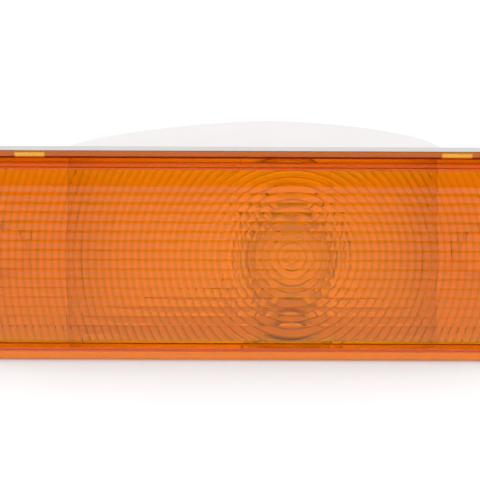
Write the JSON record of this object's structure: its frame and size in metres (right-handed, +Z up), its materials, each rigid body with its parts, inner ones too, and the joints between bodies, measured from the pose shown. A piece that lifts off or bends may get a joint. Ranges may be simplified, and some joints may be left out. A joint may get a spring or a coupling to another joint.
{
  "type": "parking light",
  "caption": "Wide rectangular parking light: fluted amber lens with ring optics, leaning back on a white housing with a curved bowl, twist-lock bulb socket and rear studs.",
  "frame": {"origin": "middle of the mounting face, half way between the two studs and at mid-height", "axes": "+X across the lamp to the right seen from the front, +Y from the lens to the back along the studs, +Z up"},
  "size_m": [0.176, 0.0957, 0.0654],
  "materials": {
    "amber_lens": "polished amber moulded plastic",
    "white_housing": "white moulded plastic",
    "seal_rubber": "soft black rubber",
    "plated_steel": "zinc plated steel",
    "socket_plastic": "pale grey moulded nylon",
    "contact_brass": "stamped brass",
    "dark_glass": "fused dark glass",
    "solder": "solder",
    "clear_glass": "clear glass",
    "wire_metal": "drawn wire"
  },
  "bodies": {
    "root": {"lens": "amber_lens", "housing": "white_housing", "lens_seal": "seal_rubber", "mounting_studs": "plated_steel", "socket_body": "socket_plastic", "socket_seal": "seal_rubber", "park_contact": "contact_brass", "turn_contact": "contact_brass", "ground_contact": "contact_brass", "wire_grommet": "seal_rubber", "bulb_base": "contact_brass", "bayonet_pins": "contact_brass", "base_insulator": "dark_glass", "base_tips": "solder", "bulb_glass": "clear_glass", "glass_stem": "clear_glass", "lead_wires": "wire_metal", "park_filament": "wire_metal", "turn_filament": "wire_metal"}
  },
  "joints": []
}
